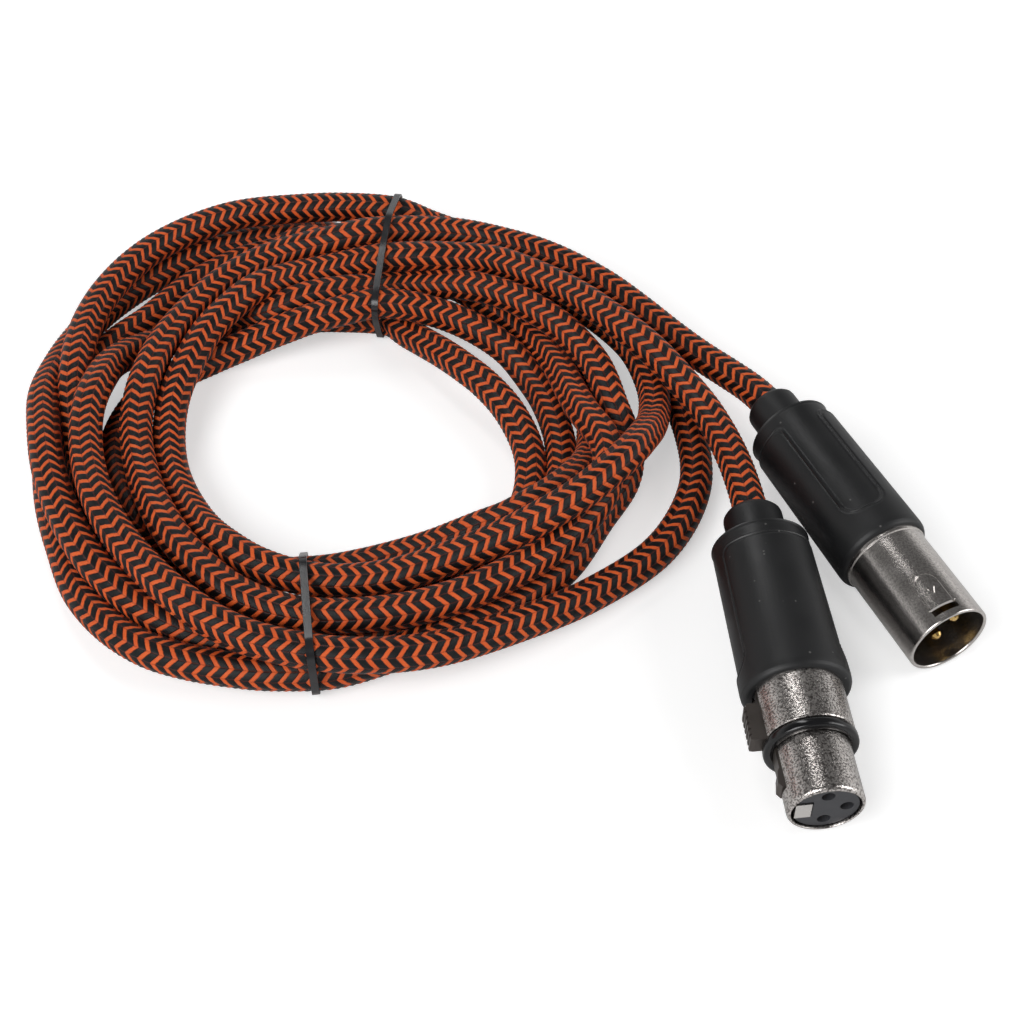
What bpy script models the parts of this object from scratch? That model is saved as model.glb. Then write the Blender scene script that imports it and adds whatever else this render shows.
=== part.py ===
"""Balanced microphone cable, three-pin male to three-pin female, wound in an oval coil on a table.

Metres, +Z up, the table at z = 0, the origin under the middle of the whole cable.
Each connector is built in its own frame and hung on an empty: +X is the way it plugs in, +Z is
its latch side, and x = 0 is its front rim.
"""

from math import cos, hypot, pi, radians, sin

import bmesh
import bpy
from mathutils import Matrix, Vector

MM = 0.001
GAP = 0.3 * MM            # room left between pieces that touch
MERGE = 0.00001

# ---------------------------------------------------------------- driving dimensions
CORD_R = 3.6 * MM          # braided jacket
TAIL_STEP = 7.0 * MM       # spacing of the points along a free tail
COIL_CENTRE = (-28.5 * MM, 19.1 * MM)
COIL_SECTIONS = 72
COIL_EDGE = 3.4 * MM       # rounding of the bundle's edges

# The bundle of turns, going round its centre:
# angle in degrees, then inner radius, outer radius, height at the inner side, at the outer side, in mm.
BUNDLE = (
    (0, 35.5, 86.0, 13.0, 7.2),
    (20, 31.0, 81.0, 13.0, 7.2),
    (40, 30.0, 76.5, 13.0, 8.0),
    (57.5, 31.0, 74.0, 12.5, 9.0),
    (62.5, 32.0, 75.0, 13.0, 20.0),
    (75, 33.0, 75.0, 12.0, 19.0),
    (90, 36.0, 77.5, 11.0, 18.0),
    (105, 38.0, 83.0, 11.0, 17.0),
    (120, 38.0, 90.0, 11.0, 15.5),
    (135, 38.0, 91.0, 12.0, 14.0),
    (150, 41.0, 87.5, 13.0, 13.5),
    (165, 43.0, 86.0, 13.5, 13.0),
    (180, 43.0, 83.0, 13.5, 12.5),
    (200, 43.5, 80.5, 13.5, 12.5),
    (220, 46.0, 80.5, 13.5, 12.5),
    (237, 49.0, 83.0, 13.5, 12.0),
    (252, 51.0, 83.0, 13.5, 11.5),
    (266, 50.0, 81.0, 13.5, 12.0),
    (280, 49.0, 78.7, 14.0, 13.0),
    (300, 48.0, 80.0, 16.0, 11.0),
    (315, 48.5, 84.0, 17.0, 8.0),
    (330, 46.5, 87.5, 17.0, 7.5),
    (345, 40.5, 88.5, 15.0, 7.5),
    (360, 35.5, 86.0, 13.0, 7.2),
)

# Ties round the bundle: angle round the coil, turn of the tie's own plane about the vertical.
TIES = {"tie_upper": (85.0, 0.0), "tie_lower": (262.5, 16.0)}
TIE_LIFT = 1.3 * MM        # the bundle rides on the tie that passes under it
TIE_REACH = 10.0           # degrees either side of a tie over which it comes back down
TIE_FLAT = 7.0             # degrees either side of a tie that stay lifted
TIE_THICK = 0.8 * MM
TIE_HALF_WIDTH = 1.15 * MM
TIE_SLACK = 0.9 * MM

# Free tails, from the connector's neck to the bundle, in mm.
TAIL_MALE = (
    (72.5, 15.4, 12.2), (69.0, 21.9, 11.4), (64.0, 28.4, 10.6), (57.5, 35.6, 10.2), (50.5, 43.6, 10.4),
    (43.5, 51.6, 11.2), (34.0, 61.6, 12.0), (23.0, 70.1, 12.5), (9.7, 77.3, 12.6),
)
TAIL_FEMALE = (
    (64.43, -20.26, 12.35), (63.7, -12.9, 12.2), (62.3, -3.9, 12.0), (60.0, 5.1, 12.0), (56.5, 14.1, 12.2),
    (49.5, 26.4, 12.6), (43.0, 35.6, 13.1), (35.5, 44.6, 13.6), (26.5, 54.1, 14.1), (16.5, 61.4, 14.6),
    (3.7, 67.8, 14.9),
)

# Connectors: front rim's centre in mm; heading, nose-down tilt and roll in degrees.
MALE_PLACE = ((103.8, -55.8, 10.55), -66.3, 1.2, 10.0)
FEMALE_PLACE = ((71.8, -98.2, 10.37), -84.6, 1.5, 92.0)

BOOT_FRONT_R = 11.0 * MM
BOOT_REAR_R = 10.6 * MM
BOOT_EDGE = 2.0 * MM
NECK_R = 6.1 * MM
NECK_LENGTH = 9.8 * MM
NECK_EDGE = 1.6 * MM
JACKET_END = 3.5 * MM      # how far inside the neck the held jacket starts

SHELL_R = 9.5 * MM         # male barrel
SHELL_BORE = 8.6 * MM
SHELL_BACK = -40.0 * MM
MALE_BOOT_X = (-68.0 * MM, -25.5 * MM)
INSERT_FACE = -16.0 * MM
SLOT_X = (-3.6 * MM, -1.7 * MM)
SLOT_WIDTH = 6.0 * MM

NOSE_R = 8.0 * MM          # female nose
NOSE_BORE = 7.1 * MM
BODY_R = 9.7 * MM
BODY_BORE = 8.6 * MM
RING_R = 10.1 * MM
RING_X = (-16.0 * MM, -13.3 * MM)
FEMALE_BOOT_X = (-68.0 * MM, -27.5 * MM)
LATCH_WIDTH = 4.6 * MM
LATCH_SLOT = 5.4 * MM
LATCH_PIVOT = (-29.0 * MM, 8.2 * MM)
PIVOT_R = 0.55 * MM
PIVOT_CLEAR = 0.9 * MM

CONTACT_CIRCLE = 4.2 * MM
PIN_R = 1.2 * MM
PIN_TIP = -3.5 * MM
SOLDER_END = -27.0 * MM
CLAMP_X = (-58.0 * MM, -43.0 * MM)
WIRE_R = 0.8 * MM
CONTACT_ANGLES = (180.0, 90.0, 0.0)   # degrees round the axis, from the side opposite the latch

ROUND = 32                 # facets round a connector
SMALL = 16                 # facets round a contact


# ---------------------------------------------------------------- scene and helpers
def clear_scene():
    for obj in list(bpy.data.objects):
        bpy.data.objects.remove(obj, do_unlink=True)


def collection(name):
    group = bpy.data.collections.new(name)
    bpy.context.scene.collection.children.link(group)
    return group


def finish_of(name, colour, roughness, metallic):
    mat = bpy.data.materials.new(name)
    mat.use_nodes = True
    shader = mat.node_tree.nodes["Principled BSDF"]
    shader.inputs["Base Color"].default_value = (*colour, 1.0)
    shader.inputs["Roughness"].default_value = roughness
    shader.inputs["Metallic"].default_value = metallic
    return mat


def add(name, data, mat, parent=None, group=None):
    obj = bpy.data.objects.new(name, data)
    (group or PARTS).objects.link(obj)
    if mat is not None:
        data.materials.append(mat)
    obj.parent = parent
    return obj


def frame_empty(name, place):
    """The frame of one connector: front rim's centre, heading, nose-down tilt, roll."""
    centre, heading, tilt, roll = place
    empty = bpy.data.objects.new(name, None)
    PARTS.objects.link(empty)
    empty.location = [c * MM for c in centre]
    empty.rotation_euler = (radians(roll), radians(tilt), radians(heading))
    return empty


def turned(name, profile, mat, parent, steps=ROUND, offset=(0.0, 0.0), group=None):
    """A solid turned about the connector's X. profile is (x, r), the outer side from front to back.

    offset moves its axis to (y, z).
    """
    mesh = bpy.data.meshes.new(name)
    points = [(r, 0.0, x) for x, r in profile]
    edges = [(i, i + 1) for i in range(len(points) - 1)]
    if profile[0][1] > MERGE:
        edges.append((len(points) - 1, 0))
    mesh.from_pydata(points, edges, [])
    obj = add(name, mesh, mat, parent, group)
    obj.location = (0.0, offset[0], offset[1])
    obj.rotation_euler = (0.0, pi / 2, 0.0)
    screw = obj.modifiers.new("turn", "SCREW")
    screw.steps = steps
    screw.render_steps = steps
    screw.use_merge_vertices = True
    screw.merge_threshold = MERGE
    screw.use_smooth_shade = True
    return obj


def smooth_points(points, count):
    """Points at even spacing of parameter on a Catmull-Rom curve through the given points."""
    pts = [Vector(p) for p in points]
    pts = [pts[0] * 2 - pts[1], *pts, pts[-1] * 2 - pts[-2]]
    spans = len(pts) - 3
    out = []
    for i in range(count):
        t = i * spans / (count - 1)
        k = min(int(t), spans - 1)
        u = t - k
        a, b, c, d = pts[k:k + 4]
        out.append(0.5 * (2 * b + (c - a) * u + (2 * a - 5 * b + 4 * c - d) * u * u
                          + (3 * b - 3 * c + d - a) * u ** 3))
    return out


def tube(name, points, radius, mat, parent=None, resolution=2):
    """A filled tube along a poly line."""
    curve = bpy.data.curves.new(name, "CURVE")
    curve.dimensions = "3D"
    curve.bevel_depth = radius
    curve.bevel_resolution = resolution
    curve.use_fill_caps = True
    spline = curve.splines.new("POLY")
    spline.points.add(len(points) - 1)
    for point, place in zip(spline.points, points):
        point.co = (*place, 1.0)
    return add(name, curve, mat, parent)


def outline_solid(name, outlines, half_width, mat, parent=None):
    """Flat closed outlines extruded both ways, made a mesh so that it can be cut."""
    curve = bpy.data.curves.new(name, "CURVE")
    curve.dimensions = "2D"
    curve.fill_mode = "BOTH"
    curve.extrude = half_width
    for outline in outlines:
        spline = curve.splines.new("POLY")
        spline.points.add(len(outline) - 1)
        for point, (x, y) in zip(spline.points, outline):
            point.co = (x, y, 0.0, 1.0)
        spline.use_cyclic_u = True
    flat = bpy.data.objects.new(name + "_outline", curve)
    PARTS.objects.link(flat)
    bpy.context.view_layer.update()
    mesh = bpy.data.meshes.new_from_object(flat.evaluated_get(bpy.context.evaluated_depsgraph_get()))
    bpy.data.objects.remove(flat, do_unlink=True)
    weld(mesh)
    mesh.name = name
    mesh.materials.clear()
    return add(name, mesh, mat, parent)


def weld(mesh):
    bm = bmesh.new()
    bm.from_mesh(mesh)
    bmesh.ops.remove_doubles(bm, verts=bm.verts, dist=MERGE)
    bmesh.ops.recalc_face_normals(bm, faces=bm.faces)
    bm.to_mesh(mesh)
    bm.free()


def as_cutter(obj):
    obj.hide_render = True
    obj.display_type = "WIRE"
    return obj


def box_cutter(name, low, high, parent):
    mesh = bpy.data.meshes.new(name)
    bm = bmesh.new()
    bmesh.ops.create_cube(bm, size=1.0)
    size = [h - l for l, h in zip(low, high)]
    middle = [(h + l) / 2 for l, h in zip(low, high)]
    bmesh.ops.transform(bm, matrix=Matrix.Translation(middle) @ Matrix.Diagonal((*size, 1.0)), verts=bm.verts)
    bm.to_mesh(mesh)
    bm.free()
    return as_cutter(add(name, mesh, None, parent, CUTTERS))


def rod_cutter(name, radius, half_length, place, parent):
    """A round cutter along the connector's Y."""
    mesh = bpy.data.meshes.new(name)
    bm = bmesh.new()
    turn = Matrix.Translation(place) @ Matrix.Rotation(pi / 2, 4, "X")
    bmesh.ops.create_cone(bm, cap_ends=True, segments=SMALL, radius1=radius, radius2=radius,
                          depth=2 * half_length, matrix=turn)
    bm.to_mesh(mesh)
    bm.free()
    return as_cutter(add(name, mesh, None, parent, CUTTERS))


def cut(obj, *cutters):
    for tool in cutters:
        step = obj.modifiers.new(tool.name, "BOOLEAN")
        step.operation = "DIFFERENCE"
        step.object = tool


def contact_places():
    """(y, z) of each contact: opposite the latch, then to either side."""
    spots = []
    for angle in (-90.0, 0.0, 180.0):
        spots.append((CONTACT_CIRCLE * cos(radians(angle)), CONTACT_CIRCLE * sin(radians(angle))))
    return spots


# ---------------------------------------------------------------- coil, ties and tails
def between(low, high, share):
    return low + (high - low) * share


def bundle_at(angle):
    """Inner radius, outer radius, inner and outer height of the bundle, and its lift, in metres."""
    turn = angle % 360.0
    for first, second in zip(BUNDLE, BUNDLE[1:]):
        if first[0] <= turn <= second[0]:
            share = (turn - first[0]) / (second[0] - first[0])
            values = [between(a, b, share) * MM for a, b in zip(first[1:], second[1:])]
            break
    lift = 0.0
    for tie_angle, _ in TIES.values():
        away = abs((turn - tie_angle + 180.0) % 360.0 - 180.0)
        share = min(max((TIE_REACH + TIE_FLAT - away) / TIE_REACH, 0.0), 1.0)
        lift = max(lift, TIE_LIFT * share)
    return (*values, lift)


def bundle_outline(angle, grow=0.0, stretch=1.0):
    """The bundle's rounded section at an angle, as (distance from the coil's centre, height)."""
    inner, outer, inner_top, outer_top, lift = bundle_at(angle)
    half = (outer - inner) / 2 * stretch + grow
    middle = (outer + inner) / 2
    corner = COIL_EDGE + grow
    outline = []
    corners = ((1, 0, -90), (1, 1, 0), (-1, 1, 90), (-1, 0, 180))
    for side, top, start in corners:
        height = (outer_top if side > 0 else inner_top) + grow if top else lift - grow
        centre_y = height - corner if top else height + corner
        centre_x = middle + side * (half - corner)
        for step in range(3):
            turn = radians(start + 45 * step)
            outline.append((centre_x + corner * cos(turn), centre_y + corner * sin(turn)))
    return outline


def make_coil(mat):
    """One closed solid of the outer shape of all the turns."""
    bm = bmesh.new()
    rings = []
    for i in range(COIL_SECTIONS):
        angle = 2.5 + 360.0 * i / COIL_SECTIONS
        out = Vector((cos(radians(angle)), sin(radians(angle)), 0.0))
        ring = []
        for reach, height in bundle_outline(angle):
            place = Vector((*COIL_CENTRE, 0.0)) + out * reach
            place.z = max(height, 0.0)
            ring.append(bm.verts.new(place))
        rings.append(ring)
    for i, ring in enumerate(rings):
        following = rings[(i + 1) % COIL_SECTIONS]
        for j in range(len(ring)):
            k = (j + 1) % len(ring)
            bm.faces.new((ring[j], ring[k], following[k], following[j]))
    bmesh.ops.recalc_face_normals(bm, faces=bm.faces)
    mesh = bpy.data.meshes.new("cable_coil")
    bm.to_mesh(mesh)
    bm.free()
    return add("cable_coil", mesh, mat)


def make_tie(name, angle, swing, mat):
    """A flat band closed round the bundle, standing across it."""
    stretch = 1.0 / cos(radians(swing))
    inner = bundle_outline(angle, grow=TIE_SLACK / 2, stretch=stretch)
    outer = bundle_outline(angle, grow=TIE_SLACK / 2 + TIE_THICK, stretch=stretch)
    middle = sum(reach for reach, _ in inner) / len(inner)
    outlines = [[(reach - middle, height) for reach, height in line] for line in (outer, inner)]
    obj = outline_solid(name, outlines, TIE_HALF_WIDTH, mat)
    out = radians(angle)
    obj.location = (COIL_CENTRE[0] + middle * cos(out), COIL_CENTRE[1] + middle * sin(out), 0.0)
    obj.rotation_euler = (pi / 2, 0.0, out + radians(swing))
    return obj


def make_tail(name, route, mat):
    points = [tuple(c * MM for c in place) for place in route]
    length = sum(hypot(*(b - a for a, b in zip(p, q))) for p, q in zip(points, points[1:]))
    return tube(name, smooth_points(points, round(length / TAIL_STEP) + 1), CORD_R, mat)


# ---------------------------------------------------------------- pieces that both connectors have
def make_boot(name, span, bore, mat, parent):
    back, front = span
    neck_back = back - NECK_LENGTH
    outer = [(front, BOOT_FRONT_R - 0.5 * MM), (front - 0.6 * MM, BOOT_FRONT_R)]
    outer.append((back + BOOT_EDGE, BOOT_REAR_R))
    outer.append((back + 0.3 * BOOT_EDGE, BOOT_REAR_R - 0.3 * BOOT_EDGE))
    outer += [(back, BOOT_REAR_R - BOOT_EDGE), (back, NECK_R)]
    outer += [(neck_back + NECK_EDGE, NECK_R), (neck_back, NECK_R - NECK_EDGE)]
    inner = [(neck_back, CORD_R + GAP), (back + 3.0 * MM, CORD_R + GAP), (back + 6.0 * MM, bore), (front, bore)]
    return turned(name, outer + inner, mat, parent)


def make_clamp(name, mat, parent):
    """The split chuck that grips the jacket inside the boot."""
    back, front = CLAMP_X
    hole = CORD_R + GAP
    profile = [(front, 7.9 * MM), (front - 3.0 * MM, 7.9 * MM), (front - 3.0 * MM, 6.6 * MM), (back, 5.4 * MM),
               (back, hole), (front, hole)]
    obj = turned(name, profile, mat, parent)
    slit = box_cutter(name + "_slit", (back - MM, -0.6 * MM, 0.0), (front + MM, 0.6 * MM, 12.0 * MM), parent)
    cut(obj, slit)
    return obj


def make_jacket_end(name, boot_back, mat, parent):
    """The stretch of jacket that the neck and the chuck hold."""
    back = boot_back - NECK_LENGTH + JACKET_END
    front = CLAMP_X[1] + 1.0 * MM
    return turned(name, [(front, 0.0), (front, CORD_R), (back, CORD_R), (back, 0.0)], mat, parent, steps=SMALL)


def make_wires(prefix, mats, parent):
    """Three cores, from the jacket's end to the solder cups."""
    for number, (y, z) in enumerate(contact_places(), start=1):
        start = CLAMP_X[1] + 1.0 * MM + GAP
        near = 0.45
        route = [(start, y * near, z * near), (start + 3.5 * MM, y * near, z * near),
                 (start + 9.0 * MM, y * 0.95, z * 0.95), (SOLDER_END - GAP, y, z)]
        tube(f"{prefix}_wire_{number}", smooth_points(route, 8), WIRE_R, mats[number - 1], parent)


# ---------------------------------------------------------------- male connector
def make_male(frame):
    shell_profile = [(0.0, SHELL_R - 0.35 * MM), (-0.4 * MM, SHELL_R), (SHELL_BACK, SHELL_R),
                     (SHELL_BACK, SHELL_BORE), (-0.4 * MM, SHELL_BORE), (0.0, SHELL_BORE + 0.3 * MM)]
    shell = turned("male_shell", shell_profile, NICKEL, frame)
    slot = box_cutter("male_latch_slot", (SLOT_X[0], -SLOT_WIDTH / 2, 6.0 * MM),
                      (SLOT_X[1], SLOT_WIDTH / 2, 12.0 * MM), frame)
    cut(shell, slot)

    radius = SHELL_BORE - GAP
    insert = turned("male_insert", [(INSERT_FACE, 0.0), (INSERT_FACE, radius), (INSERT_FACE - 7.0 * MM, radius),
                                    (INSERT_FACE - 7.0 * MM, 0.0)], INSERT_PLASTIC, frame)
    for number, spot in enumerate(contact_places(), start=1):
        hole = PIN_R + GAP
        drill = turned(f"male_hole_{number}", [(INSERT_FACE + MM, 0.0), (INSERT_FACE + MM, hole),
                                               (INSERT_FACE - 8.0 * MM, hole), (INSERT_FACE - 8.0 * MM, 0.0)],
                       None, frame, SMALL, spot, CUTTERS)
        cut(insert, as_cutter(drill))
        tip = [(PIN_TIP, 0.0), (PIN_TIP - 0.25 * MM, 0.55 * PIN_R), (PIN_TIP - 0.9 * MM, PIN_R)]
        cup = [(SOLDER_END, PIN_R), (SOLDER_END, WIRE_R), (SOLDER_END + 2.5 * MM, WIRE_R), (SOLDER_END + 2.5 * MM, 0.0)]
        turned(f"male_pin_{number}", tip + cup, GOLD, frame, SMALL, spot)

    make_boot("male_boot", MALE_BOOT_X, SHELL_R + GAP, BOOT_RUBBER, frame)
    make_clamp("male_cable_clamp", CLAMP_PLASTIC, frame)
    make_jacket_end("male_cable_end", MALE_BOOT_X[0], BRAID, frame)
    make_wires("male", WIRE_COLOURS, frame)


# ---------------------------------------------------------------- female connector
def latch_outline():
    """Side view of the latch lever as (x, z): hook, arm under the ring, ribbed tab, pivot eye."""
    arm_low, arm_top = 7.15 * MM, 7.85 * MM
    pivot_x, pivot_z = LATCH_PIVOT
    line = [(-5.0 * MM, arm_low), (-5.0 * MM, 8.0 * MM), (-6.0 * MM, 8.75 * MM), (-8.6 * MM, 8.3 * MM),
            (-9.4 * MM, arm_top), (-16.4 * MM, arm_top), (-16.4 * MM, 11.4 * MM)]
    ribs = 6
    pitch = 8.4 * MM / ribs
    for rib in range(ribs):
        start = -16.6 * MM - rib * pitch
        line += [(start, 12.2 * MM), (start - 0.55 * pitch, 12.2 * MM), (start - 0.6 * pitch, 11.7 * MM),
                 (start - 0.95 * pitch, 11.7 * MM)]
    line += [(-25.2 * MM, 11.4 * MM), (-25.2 * MM, 9.2 * MM)]
    eye = 1.75 * MM
    line += [(pivot_x + eye, 9.2 * MM)]
    for step in range(9):
        turn = radians(45 + 30 * step)
        line.append((pivot_x + 1.35 * MM * cos(turn), pivot_z + 1.35 * MM * sin(turn) * 0.9))
    line += [(pivot_x + eye, arm_low)]
    return line


def make_latch(frame):
    latch = outline_solid("female_latch", [latch_outline()], LATCH_WIDTH / 2, LATCH_METAL, frame)
    latch.rotation_euler = (pi / 2, 0.0, 0.0)
    pivot_x, pivot_z = LATCH_PIVOT
    eye_bore = rod_cutter("female_pivot_bore", PIVOT_CLEAR, 7.0 * MM, (pivot_x, 0.0, pivot_z), frame)
    fork = box_cutter("female_latch_fork", (pivot_x - 3.0 * MM, -1.1 * MM, 5.0 * MM),
                      (pivot_x + 2.3 * MM, 1.1 * MM, 11.0 * MM), frame)
    cut(latch, eye_bore, fork)
    # the lever's own origin sits on its pivot
    offset = Vector((pivot_x, pivot_z, 0.0))
    latch.data.transform(Matrix.Translation(-offset))
    latch.location = (pivot_x, 0.0, pivot_z)

    pin = turned("female_latch_pin", [(4.2 * MM, 0.0), (4.2 * MM, PIVOT_R), (-4.2 * MM, PIVOT_R), (-4.2 * MM, 0.0)],
                 STEEL, frame, SMALL)
    pin.location = (pivot_x, 0.0, pivot_z)
    pin.rotation_euler = (pi / 2, 0.0, 0.0)

    turns, per_turn = 3, 10
    spring_r = 1.15 * MM
    route = []
    for i in range(turns * per_turn + 1):
        turn = 2 * pi * i / per_turn
        y = between(-0.68 * MM, 0.68 * MM, i / (turns * per_turn))
        route.append((pivot_x + spring_r * cos(turn), y, pivot_z + spring_r * sin(turn)))
    tube("female_latch_spring", route, 0.19 * MM, STEEL, frame, resolution=1)
    return eye_bore


def make_female(frame):
    ring_back, ring_front = RING_X
    profile = [(0.4 * MM, NOSE_R - 0.5 * MM), (0.0, NOSE_R), (ring_back, NOSE_R), (ring_back, BODY_R),
               (SHELL_BACK, BODY_R), (SHELL_BACK, BODY_BORE), (-18.0 * MM, BODY_BORE), (-18.0 * MM, NOSE_BORE),
               (0.0, NOSE_BORE), (0.4 * MM, NOSE_BORE + 0.3 * MM)]
    shell = turned("female_shell", profile, NICKEL, frame)
    window = box_cutter("female_latch_window", (-31.5 * MM, -LATCH_SLOT / 2, 5.0 * MM),
                        (-4.4 * MM, LATCH_SLOT / 2, 12.0 * MM), frame)
    cut(shell, window)

    ring = [(ring_front, RING_R - 0.3 * MM), (ring_front - 0.3 * MM, RING_R), (ring_back + GAP, RING_R),
            (ring_back + GAP, NOSE_R + 0.25 * MM), (ring_front, NOSE_R + 0.25 * MM)]
    turned("female_seal_ring", ring, RUBBER, frame)

    face = -0.6 * MM
    radius = NOSE_BORE - 0.35 * MM
    flange = BODY_BORE - GAP
    body = [(face, 0.0), (face, radius), (-18.4 * MM, radius), (-18.4 * MM, flange), (-21.5 * MM, flange),
            (-21.5 * MM, 0.0)]
    insert = turned("female_insert", body, INSERT_PLASTIC, frame)
    keyway = box_cutter("female_keyway", (-24.0 * MM, -LATCH_SLOT / 2, 2.7 * MM),
                        (1.0 * MM, LATCH_SLOT / 2, 12.0 * MM), frame)
    cut(insert, keyway)
    for number, spot in enumerate(contact_places(), start=1):
        mouth, well = 1.4 * MM, 1.8 * MM
        drill = turned(f"female_hole_{number}", [(1.0 * MM, 0.0), (1.0 * MM, mouth), (-2.0 * MM, mouth),
                                                 (-2.0 * MM, well), (-22.5 * MM, well), (-22.5 * MM, 0.0)],
                       None, frame, SMALL, spot, CUTTERS)
        cut(insert, as_cutter(drill))
        sleeve = [(-14.0 * MM, 0.0), (-14.0 * MM, 1.15 * MM), (-2.4 * MM, 1.15 * MM), (-2.4 * MM, 1.5 * MM),
                  (-16.0 * MM, 1.5 * MM), (-17.0 * MM, 1.1 * MM), (SOLDER_END, 1.1 * MM), (SOLDER_END, 0.0)]
        turned(f"female_socket_{number}", sleeve, GOLD, frame, SMALL, spot)

    key = outline_solid("female_key_bar", [[(-0.3 * MM, 3.0 * MM), (-0.3 * MM, 6.3 * MM), (-4.0 * MM, 6.3 * MM),
                                            (-4.0 * MM, 3.0 * MM)]], 2.4 * MM, NICKEL, frame)
    key.rotation_euler = (pi / 2, 0.0, 0.0)

    eye_bore = make_latch(frame)
    cut(shell, eye_bore)
    make_boot("female_boot", FEMALE_BOOT_X, BODY_R + GAP, BOOT_RUBBER, frame)
    make_clamp("female_cable_clamp", CLAMP_PLASTIC, frame)
    make_jacket_end("female_cable_end", FEMALE_BOOT_X[0], BRAID, frame)
    make_wires("female", WIRE_COLOURS, frame)


clear_scene()
PARTS = collection("xlr_cable_coil")
CUTTERS = collection("cutters")
BRAID = finish_of("braid", (0.42, 0.10, 0.03), 0.8, 0.0)
BOOT_RUBBER = finish_of("boot_rubber", (0.012, 0.012, 0.014), 0.45, 0.0)
NICKEL = finish_of("nickel", (0.62, 0.59, 0.57), 0.28, 1.0)
GOLD = finish_of("gold", (0.78, 0.56, 0.22), 0.25, 1.0)
INSERT_PLASTIC = finish_of("insert_plastic", (0.05, 0.05, 0.055), 0.5, 0.0)
CLAMP_PLASTIC = finish_of("clamp_plastic", (0.55, 0.55, 0.53), 0.5, 0.0)
RUBBER = finish_of("rubber", (0.015, 0.015, 0.016), 0.6, 0.0)
LATCH_METAL = finish_of("latch_metal", (0.13, 0.12, 0.115), 0.5, 0.6)
STEEL = finish_of("steel", (0.6, 0.6, 0.62), 0.3, 1.0)
TIE_PLASTIC = finish_of("tie_plastic", (0.02, 0.02, 0.022), 0.3, 0.0)
WIRE_COLOURS = [finish_of("wire_shield", (0.02, 0.02, 0.02), 0.5, 0.0),
                finish_of("wire_hot", (0.6, 0.05, 0.04), 0.5, 0.0),
                finish_of("wire_cold", (0.8, 0.8, 0.78), 0.5, 0.0)]

make_coil(BRAID)
for tie_name, (tie_angle, tie_swing) in TIES.items():
    make_tie(tie_name, tie_angle, tie_swing, TIE_PLASTIC)
make_tail("cable_tail_male", TAIL_MALE, BRAID)
make_tail("cable_tail_female", TAIL_FEMALE, BRAID)
make_male(frame_empty("male_connector", MALE_PLACE))
make_female(frame_empty("female_connector", FEMALE_PLACE))
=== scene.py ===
"""A coiled microphone cable: woven orange and black jacket, a male and a female three-pin connector,
and two thin black ties round the coil. Metres, +Z up, the table at z = 0."""
from math import ceil, cos, hypot, pi, radians, sin, sqrt

import bmesh
import bpy
import numpy as np
from mathutils import Matrix, Vector


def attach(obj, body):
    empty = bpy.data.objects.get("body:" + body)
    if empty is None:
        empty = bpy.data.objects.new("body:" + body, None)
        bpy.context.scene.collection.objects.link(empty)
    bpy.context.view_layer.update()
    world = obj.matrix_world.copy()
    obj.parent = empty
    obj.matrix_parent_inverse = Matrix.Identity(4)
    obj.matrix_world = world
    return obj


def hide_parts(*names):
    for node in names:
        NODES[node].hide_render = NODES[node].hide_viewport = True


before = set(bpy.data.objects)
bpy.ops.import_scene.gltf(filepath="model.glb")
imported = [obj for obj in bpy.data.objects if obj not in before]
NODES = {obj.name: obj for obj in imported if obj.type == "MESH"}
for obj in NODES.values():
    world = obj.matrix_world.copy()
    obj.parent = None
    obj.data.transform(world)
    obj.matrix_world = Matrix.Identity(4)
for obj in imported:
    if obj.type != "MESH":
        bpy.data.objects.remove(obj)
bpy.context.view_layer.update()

MM = 0.001
LOOK_DOWN = 47.7           # how steeply the camera looks down, in degrees

# ---------------------------------------------------------------- the cable's route, in mm and degrees
CORD_D = 8.1
COIL_CENTRE = (-28.5, 19.1)
SPACING = 7.8            # jackets that touch give a little
TABLE_GAP = 0.02          # the lowest turns lie this far above the table

# Free tails, from the connector's neck to the bundle.
TAIL_MALE = (
    (72.5, 15.4, 12.2), (69.0, 21.9, 11.4), (64.0, 28.4, 10.6), (57.5, 35.6, 10.2), (50.5, 43.6, 10.4),
    (43.5, 51.6, 11.2), (34.0, 61.6, 12.0), (23.0, 70.1, 12.5), (9.7, 77.3, 12.6),
)
TAIL_FEMALE = (
    (64.43, -20.26, 12.35), (63.7, -12.9, 12.2), (62.3, -3.9, 12.0), (60.0, 5.1, 12.0), (56.5, 14.1, 12.2),
    (49.5, 26.4, 12.6), (43.0, 35.6, 13.1), (35.5, 44.6, 13.6), (26.5, 54.1, 14.1), (16.5, 61.4, 14.6),
    (3.7, 67.8, 14.9),
)

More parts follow.
